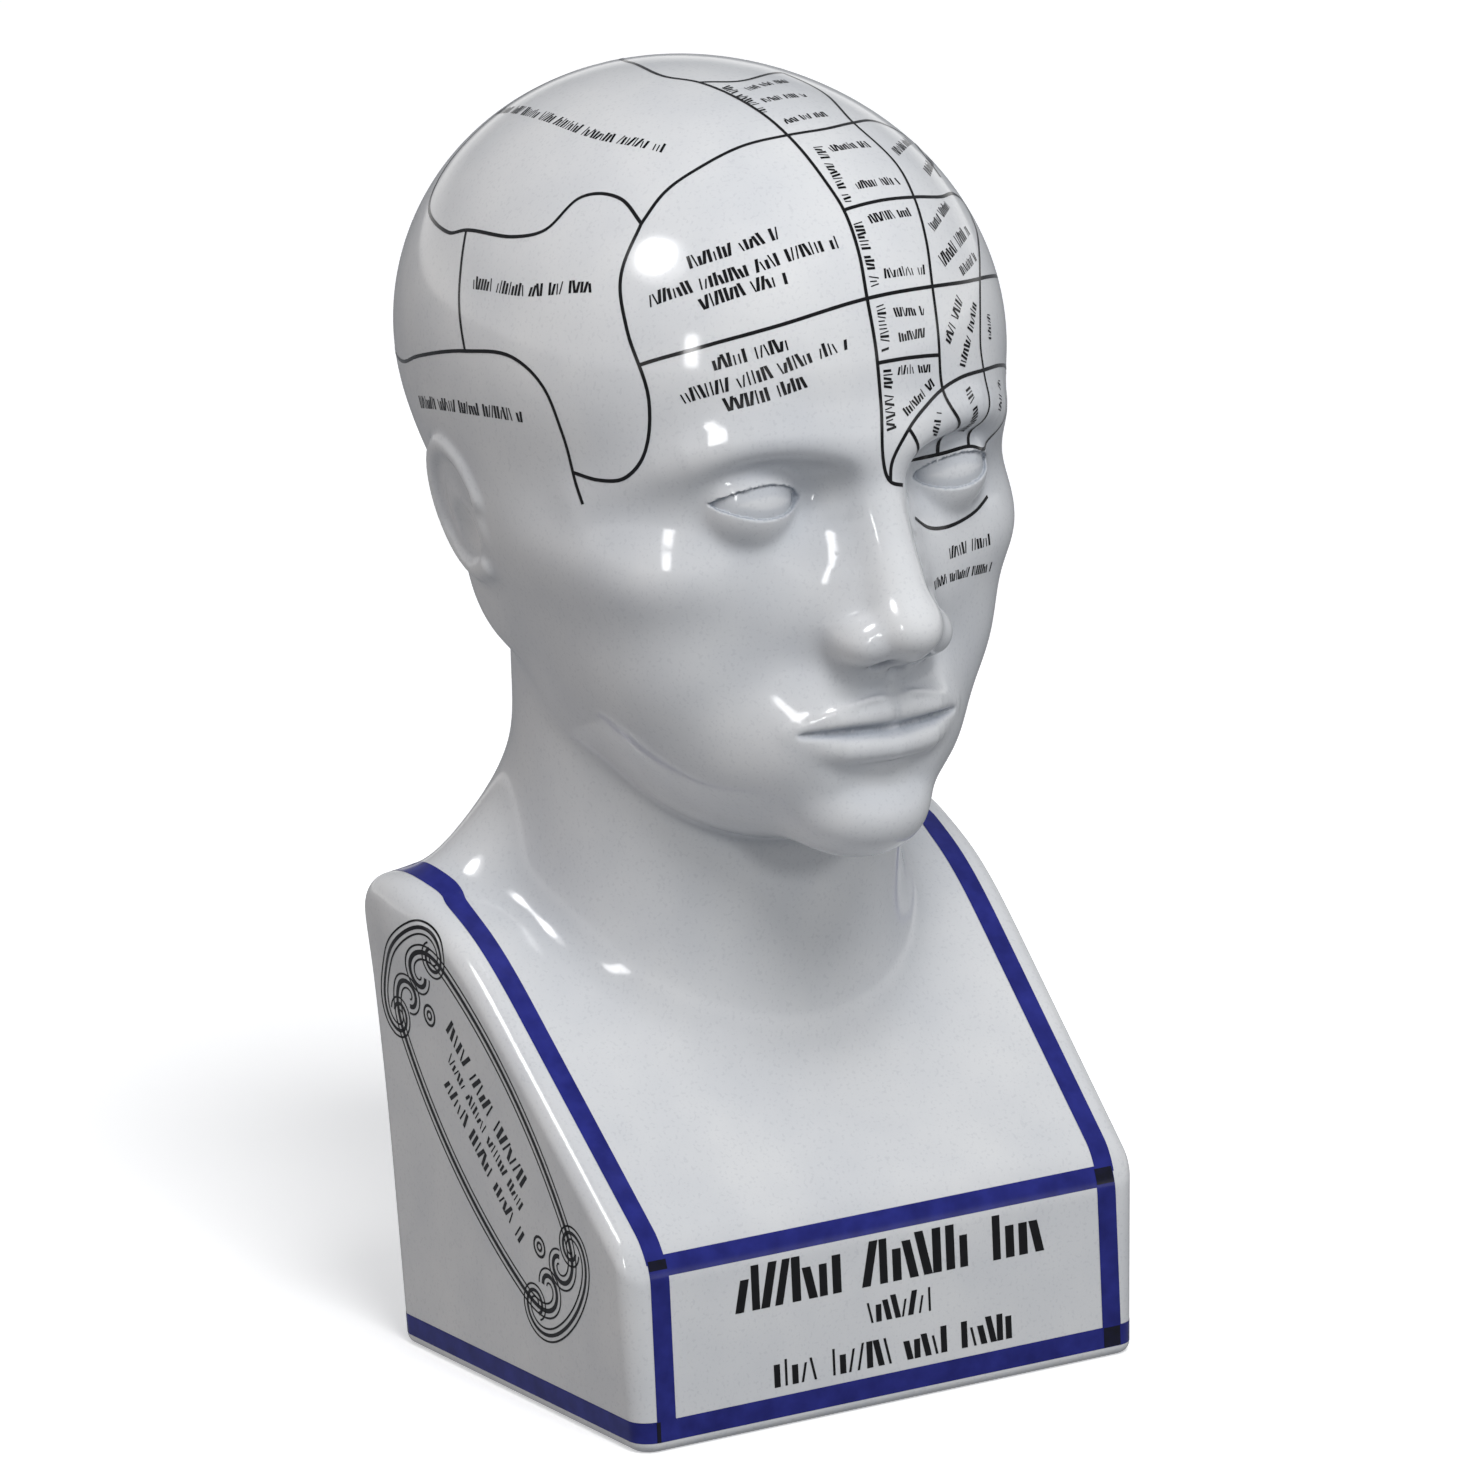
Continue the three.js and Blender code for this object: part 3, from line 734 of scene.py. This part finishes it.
# Black lines that part the skull into regions. Bearings are azimuth and elevation in degrees. The large
# regions are the same on both sides of the head and meet at its back. The small cells are on its left half
# in front.
LINE_WIDTH = 0.84
LARGE_REGIONS = [
    [(-47, 54), (-54, 58), (-62, 59), (-68, 58), (-74, 53), (-84, 51), (-103, 49), (-110, 47), (-128, 46),
     (-136, 49), (-141, 54), (-148, 60), (-160, 66), (180, 68)],
    [(-103, 49), (-99, 44), (-96, 39), (-92, 33)],
    [(-59, 10), (-61, 15), (-63, 23), (-67, 30), (-76, 34), (-92, 33), (-112, 28), (-124, 24), (-150, 21),
     (180, 20)],
]
MIDDLE_LINES = [
    [(-163, 76), (-100, 84), (-39, 84), (-5, 73), (-2, 67), (0, 58), (1, 52.5), (0.5, 46), (-0.5, 39.5),
     (-0.5, 31), (-0.5, 24.5), (-1, 16.5), (0.5, 12), (3.5, 11)],
    [(-163, 76), (-172, 72), (180, 68), (180, 45), (180, 20)],
]
FOREHEAD_LINES = [
    [(-61, 16), (-55, 15), (-49, 15.5), (-44.5, 19.5), (-43, 28.5), (-47.5, 38.5), (-50, 46), (-47, 54)],
    [(-47, 54), (-42, 59), (-32, 63), (-19, 66), (-2, 67), (14, 67), (30, 67), (46, 66), (56, 63), (63, 59)],
    [(-45, 33.5), (-33, 35.5), (-18, 37.5), (-0.5, 39.5), (15.5, 39.5), (27, 39), (39.5, 38.5), (50, 37.5)],
    [(80, 79), (52, 74), (31, 67), (27.5, 58), (23.5, 52.5), (19, 46), (15.5, 39.5), (14, 32.5),
     (13.5, 25), (15, 21.5), (18, 17.5), (17.5, 14.5)],
    [(-39, 84), (10, 83), (80, 79)],
    [(1, 52.5), (10.5, 53), (23.5, 52.5), (35, 51.5), (47, 51), (52.5, 49), (47, 45.5), (39.5, 42.5),
     (33.5, 39), (29.5, 35), (27, 30), (27, 26), (26.5, 20.5), (23.5, 14.5)],
    [(-0.5, 30.5), (5.5, 30.5), (13.5, 30)],
    [(0.5, 12), (1, 15.5), (4.5, 20), (9, 23), (13.5, 25), (19, 26), (27, 26), (37, 25.5), (47, 23.5),
     (61, 15)],
    [(8, 14), (12, 14.5), (17.5, 14.5), (23.5, 14.5), (28.5, 13), (34, 14.5), (39, 17.5), (44, 21),
     (47, 23.5)],
    [(4.5, 20), (6.5, 17), (8, 14)],
    [(9, 4), (14, 1), (20, 0), (28, 1), (34, 3)],
]


def mirrored(lines):
    return [[(-turn, rise) for turn, rise in line] for line in lines]


def region_lines():
    ink = printed_colour("black_under_glaze", "121215", "060608", 3)
    bearings = LARGE_REGIONS + mirrored(LARGE_REGIONS) + MIDDLE_LINES + FOREHEAD_LINES
    paths = [skull_path(line) for line in bearings]
    places, outs = together(paths, lambda p: on_surface(p, 3))
    grids = [band(path, out, LINE_WIDTH, 2) for path, out in zip(places, outs)]
    film_piece("region_lines", grids, ink, FILM_LIFT + FILM_STEP)
    return ink


# Rows of small printed strokes. Pitch, weight, the gap between groups and the strokes' own heights are
# shares of the row's height. Thin is a share of the weight, and a lean a share of the stroke's height.
STROKE_HEIGHTS = [1.0, 1.0, 0.72, 0.86]
STROKE_LEANS = [0, 0, 0.22, -0.22]
FIRST_STROKE = 0.2
GROUP_GAP = 0.5
FEWEST_FIRST, FEWEST, MOST = 5, 4, 10  # strokes in the first group, and in the others


def stroke_row(path, outs, height, seed, pitch=0.37, weight=0.25, thin=0.5):
    """Grids for one row of separate strokes, upright, leaning and short, grouped with gaps as print is."""
    draw = np.random.default_rng(seed)
    run = np.concatenate([[0], np.cumsum(np.linalg.norm(np.diff(path, axis=0), axis=1))])
    ways = tangents(path)
    grids = []
    place, left = FIRST_STROKE * height, int(draw.integers(FEWEST_FIRST, MOST + 1))
    while place < run[-1]:
        at, along, out = (
            np.array([np.interp(place, run, values[:, k]) for k in range(3)]) for values in (path, ways, outs)
        )
        up = np.cross(out, along)
        tall = height * draw.choice(STROKE_HEIGHTS)
        thick = height * weight * draw.choice([1.0, 1.0, thin])
        lean = tall * draw.choice(STROKE_LEANS)
        rows = [at + along * lean * (s - 0.5) + up * (tall * s - height / 2) for s in (0, 0.5, 1)]
        grids.append(np.array([[row + along * thick * c for c in (-0.5, 0.5)] for row in rows]))
        place += height * pitch
        left -= 1
        if left == 0:
            place += height * GROUP_GAP
            left = int(draw.integers(FEWEST, MOST + 1))
    return grids


# Each row on the head is the bearings of its middle line and its height
CAPTIONS = [
    ([(-147, 58), (-118, 67), (-76, 69), (-46, 67)], 2.8),
    ([(-93, 43), (-74, 44), (-57, 45)], 2.9),
    ([(-115, 20), (-92, 24), (-74, 25)], 2.9),
    ([(-35.5, 47.5), (-26, 49), (-16, 50.5)], 3.1),
    ([(-43.5, 42.5), (-25, 45.5), (-3, 48)], 3.1),
    ([(-33, 41.5), (-25, 43), (-15.5, 44)], 3.1),
    ([(-31, 33), (-24, 34), (-16.5, 35)], 3.1),
    ([(-37, 28.5), (-22, 31), (-6, 34)], 3.1),
    ([(-29, 27), (-22, 28), (-14, 29.5)], 3.1),
    ([(19, -5), (26, -5), (33, -5)], 2.8),
    ([(12, -9), (24, -10), (35, -11)], 2.3),
    ([(5, 64), (3.5, 53.5)], 2.4),
    ([(3, 50.5), (2, 41)], 2.4),
    ([(2, 38.5), (1.5, 32)], 2.3),
    ([(1.5, 29.5), (1, 19.5)], 2.4),
    ([(8, 63), (24.5, 62.5)], 2.2),
    ([(7.5, 56), (22, 55.5)], 2.2),
    ([(6, 50.5), (18.5, 50.5)], 2.3),
    ([(4.5, 42.5), (15, 42)], 2.3),
    ([(4.5, 37), (11.5, 36.5)], 2.1),
    ([(4.5, 33.5), (11, 33.5)], 2.1),
    ([(3.5, 29), (11, 28.5)], 2.1),
    ([(4, 22.5), (11.5, 26.5)], 2.2),
    ([(10.5, 18), (11.5, 21.5)], 2.1),
    ([(22.5, 47.5), (37.5, 50.5)], 2.4),
    ([(20.5, 42.5), (38.5, 46)], 3.0),
    ([(26, 40.5), (35, 42)], 2.2),
    ([(16, 31.5), (22.5, 37)], 2.6),
    ([(19.5, 27.5), (27.5, 36)], 2.5),
    ([(22, 17.5), (20, 24)], 2.4),
    ([(31.5, 18.5), (34, 23.5)], 2.2),
    ([(31.5, 30), (33, 34.5)], 2.0),
    ([(32.5, 60), (56, 60.5)], 2.4),
    ([(39, 55.5), (60, 56.5)], 2.4),
    ([(-12, 82), (-3, 73)], 2.4),
    ([(2, 80), (50, 79)], 2.1),
    ([(2, 76), (34, 75)], 2.1),
    ([(1, 70), (24, 70)], 2.1),
]


def head_captions(ink):
    paths = [skull_path(bearings) for bearings, _ in CAPTIONS]
    places, outs = together(paths, lambda p: on_surface(p, 2))
    grids = []
    for seed, (path, out, (_, height)) in enumerate(zip(places, outs, CAPTIONS)):
        grids += stroke_row(path, out, height, seed)
    film_piece("caption_strokes_head", grids, ink, FILM_LIFT)


# Three rows on the front panel: a bold one, a short one and a narrower one
TITLE_SEED = 40
TITLE_ROWS = (
    {"x": (-40.0, 41.0), "z": 33.6, "height": 10.4, "pitch": 0.34, "weight": 0.22, "thin": 0.9},
    {"x": (-6.0, 11.0), "z": 22.6, "height": 5.6, "pitch": 0.4, "weight": 0.26, "thin": 0.4},
    {"x": (-31.0, 31.5), "z": 12.6, "height": 6.2, "pitch": 0.38, "weight": 0.26, "thin": 0.4},
)


def title_rows(ink):
    grids = []
    for number, row in enumerate(TITLE_ROWS):
        z = row["z"]
        start, end = ([x, FRONT_Y + PANEL_DRAFT * z, z] for x in row["x"])
        path = straight(start, end, 2)
        outs = np.tile([0.0, -1.0, PANEL_DRAFT], (len(path), 1))
        weights = (row["pitch"], row["weight"], row["thin"])
        grids += stroke_row(path, outs, row["height"], TITLE_SEED + number, *weights)
    film_piece("caption_strokes_panel", grids, ink, FILM_LIFT)


# A frame of plain scrolls on the figure's right side, with three slanting rows of strokes in it. Its lines
# are drawn flat, in millimetres along and across it, from its centre's y and z on the side face.
SCROLL_CENTRE = (6.0, 62.0)
SCROLL_TILT = math.radians(-46)
SCROLL_MIDDLE = 240
SCROLL_POINTS = 2 * SCROLL_MIDDLE + 1
SCROLL_STEP = 0.8

# Each scroll is a thick line between two thin ones, given as the gap from its middle and the width
LONG_LINES = ((-1.7, 0.5), (0.0, 1.15), (1.7, 0.5))
LONG_ACROSS = 19
END_LINES = ((-1.5, 0.5), (0.0, 0.9), (1.5, 0.5))
END_ALONG = 50
RING_ALONG = 31
RING_RADII = (1.0, 2.4)
RING_LINE = 0.7

# The rows inside it: where each starts and ends along it, its place across it and its height
SIDE_SEED = 60
SIDE_ROWS = ((-25, 21, 6.2, 4.4), (-20, 22, 0.2, 3.0), (-17, 26, -5.8, 4.0))
SIDE_WEIGHTS = (0.42, 0.26, 0.5)  # pitch, weight and thin


def side_points(local):
    """Points on the side face, from millimetres along and across the scroll."""
    along, across = np.array(local, float).T
    y = SCROLL_CENTRE[0] - along * math.cos(SCROLL_TILT) + across * math.sin(SCROLL_TILT)
    z = SCROLL_CENTRE[1] + along * math.sin(SCROLL_TILT) + across * math.cos(SCROLL_TILT)
    return np.column_stack([-half_width(z), y, z])


def scroll(half_length, plain, bow, curl, gathering):
    """A line that bows gently along its middle and rolls in at both ends, made of many small turns."""
    run = np.linspace(-half_length, half_length, SCROLL_POINTS)
    step = run[1] - run[0]
    roll = np.clip((np.abs(run) - plain) / (half_length - plain), 0, 1)
    heading = np.cumsum(bow + curl * roll**gathering) * step
    heading -= heading[SCROLL_MIDDLE]
    along, across = np.cumsum(np.cos(heading)) * step, -np.cumsum(np.sin(heading)) * step
    return np.column_stack([along - along[SCROLL_MIDDLE], across - across[SCROLL_MIDDLE]])


def beside(line, gap):
    """The same flat line drawn again at an even gap from it."""
    run = tangents(line)
    return line + np.column_stack([-run[:, 1], run[:, 0]]) * gap


def ring(along, across, radius):
    turns = np.radians(np.linspace(0, 360, 33))
    return np.column_stack([along + radius * np.cos(turns), across + radius * np.sin(turns)])


def scroll_ornament(ink):
    long_scroll = scroll(half_length=62, plain=30, bow=0.0075, curl=0.42, gathering=1.6)
    end_scroll = scroll(half_length=40, plain=6, bow=0.03, curl=0.40, gathering=1.4)
    lines = []
    for turn in (1, -1):
        for gap, width in LONG_LINES:
            lines.append(((beside(long_scroll, gap) + [0, LONG_ACROSS]) * turn, width))
        for gap, width in END_LINES:
            end = beside(end_scroll, gap)
            lines.append(((np.column_stack([end[:, 1], end[:, 0]]) + [END_ALONG, 0]) * turn, width))
        for radius in RING_RADII:
            lines.append((ring(RING_ALONG * turn, 0, radius), RING_LINE))
    paths = [resample(side_points(line), SCROLL_STEP) for line, _ in lines]
    places, outs = together(paths, lambda p: on_surface(p, 2))
    grids = [band(path, out, width, 1) for path, out, (_, width) in zip(places, outs, lines)]
    film_piece("side_scrolls", grids, ink, FILM_LIFT)
    strokes = []
    for number, (start, end, across, height) in enumerate(SIDE_ROWS):
        path = resample(side_points([(start, across), (end, across)]), 1.5)
        outs = np.tile([-1.0, 0.0, -FLARE], (len(path), 1))
        strokes += stroke_row(path, outs, height, SIDE_SEED + number, *SIDE_WEIGHTS)
    film_piece("caption_strokes_side", strokes, ink, FILM_LIFT)


# Studio, in metres. Lights are placed by the azimuth and elevation that they shine from.
CAMERA_PLACE = Vector((-1324.275, -2266.028, 818.442)) * MM
CAMERA_TURN = [math.radians(angle) for angle in (75.618, 1.937, -30.713)]
CAMERA_LENS = 296.3
SENSOR_WIDTH = 36
FARTHEST_SEEN = 20
LIGHTS_AIM = Vector((0, 0, 0.2))
FACE_AIM = Vector((0, 0, 0.19))
FLOOR_HALF = 60
FLOOR_GLOW = 0.35  # lifts the lit floor to the photograph's clean white
WARM_WHITE = "fff0e2"


def add_camera():
    data = bpy.data.cameras.new("camera")
    data.lens = CAMERA_LENS
    data.sensor_width = SENSOR_WIDTH
    data.clip_end = FARTHEST_SEEN
    camera = bpy.data.objects.new("camera", data)
    camera.location = CAMERA_PLACE
    camera.rotation_euler = Euler(CAMERA_TURN)
    bpy.context.scene.collection.objects.link(camera)
    bpy.context.scene.camera = camera


def hang_light(name, data, azimuth, elevation, aim=LIGHTS_AIM, distance=0):
    way = Vector(way_to(azimuth, elevation))
    light = bpy.data.objects.new(name, data)
    light.location = aim + way * distance
    light.rotation_euler = way.to_track_quat("Z", "Y").to_euler()
    bpy.context.scene.collection.objects.link(light)
    return light


def softbox(name, azimuth, elevation, distance, size, power, shape="RECTANGLE"):
    """A flat light that faces the head."""
    data = bpy.data.lights.new(name, "AREA")
    data.shape = shape
    data.size, data.size_y = size
    data.energy = power
    return hang_light(name, data, azimuth, elevation, distance=distance)


def soft_sun(name, strength, azimuth, elevation, spread, colour="ffffff"):
    """A very wide soft light, even over all of the floor, that leaves no shape of its own in the gloss."""
    data = bpy.data.lights.new(name, "SUN")
    data.energy = strength
    data.color = linear(colour)[:3]
    data.angle = math.radians(spread)
    hang_light(name, data, azimuth, elevation).visible_glossy = False


def face_lamp(name, azimuth, elevation, distance, power):
    """A soft spot that lights the head alone, and leaves no shape of its own in the gloss."""
    data = bpy.data.lights.new(name, "SPOT")
    data.energy = power
    data.shadow_soft_size = 0.15
    data.spot_size = math.radians(10)
    data.spot_blend = 0.6
    hang_light(name, data, azimuth, elevation, FACE_AIM, distance).visible_glossy = False


def studio():
    soft_sun("key", strength=1.42, azimuth=-8, elevation=50, spread=24)
    soft_sun("overhead", strength=0.25, azimuth=10, elevation=84, spread=60)
    soft_sun("right_fill", strength=0.1, azimuth=58, elevation=4, spread=50)
    soft_sun("left_fill", strength=0.88, azimuth=-118, elevation=2, spread=36, colour=WARM_WHITE)
    face_lamp("face_fill", azimuth=-4, elevation=20, distance=1.2, power=28)
    near_box = softbox("near_box", azimuth=-12, elevation=60, distance=0.9, size=(0.35, 0.35), power=1.6)
    near_box.visible_glossy = False
    # These three only show in the gloss: a window with a fainter rim, and a strip beside the camera
    for light in (
        softbox("window_left", -82, 49, distance=1.6, size=(0.42, 0.44), power=6.6, shape="ELLIPSE"),
        softbox("window_halo", -80, 48, distance=1.62, size=(0.66, 0.6), power=3.2, shape="ELLIPSE"),
        softbox("strip_left", -54, 13, distance=1.8, size=(0.18, 0.45), power=3.4),
    ):
        light.visible_diffuse = False
    world = bpy.data.worlds.new("studio")
    bpy.context.scene.world = world
    world.use_nodes = True
    tree = world.node_tree
    # A grey room with a pale wall low round the horizon
    way = add_node(tree, "ShaderNodeTexCoord").outputs["Generated"]
    height = add_node(tree, "ShaderNodeSeparateXYZ", {"Vector": way}).outputs["Z"]
    stops = [(0.0, "828488"), (0.02, "fafafa"), (0.06, "fafafa"), (0.2, "8a8c90")]
    room = add_node(tree, "ShaderNodeValToRGB", {"Fac": height}, stops)
    tree.links.new(room.outputs["Color"], tree.nodes["Background"].inputs["Color"])
    bpy.context.scene.view_settings.view_transform = "Standard"


def pale_floor():
    """Matt white paint with hardly a mottle in it, so that it reads as a clean studio floor."""
    bm = bmesh.new()
    bmesh.ops.create_grid(bm, x_segments=8, y_segments=8, size=FLOOR_HALF)
    material = bpy.data.materials.new("pale_floor_paint")
    material.use_nodes = True
    tree = material.node_tree
    place = add_node(tree, "ShaderNodeTexCoord").outputs["Object"]
    mottle = add_node(tree, "ShaderNodeTexNoise", {"Vector": place, "Scale": 3.0}).outputs["Fac"]
    colour = add_node(tree, "ShaderNodeValToRGB", {"Fac": mottle}, [(0.3, "fafafa"), (0.7, "ffffff")])
    shader = tree.nodes["Principled BSDF"]
    tree.links.new(colour.outputs["Color"], shader.inputs["Base Color"])
    shader.inputs["Roughness"].default_value = 0.9
    shader.inputs["Emission Color"].default_value = linear("ffffff")
    shader.inputs["Emission Strength"].default_value = FLOOR_GLOW
    floor = mesh_object("floor", bm, material)
    floor.visible_diffuse = False  # it lights the bust no more than the grey room does
    floor.visible_glossy = False


add_camera()
studio()
pale_floor()
bust = glazed_bust()
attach(bust, "root")
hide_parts(BUST)
cobalt_bands()
band_overlaps()
black = region_lines()
head_captions(black)
title_rows(black)
scroll_ornament(black)
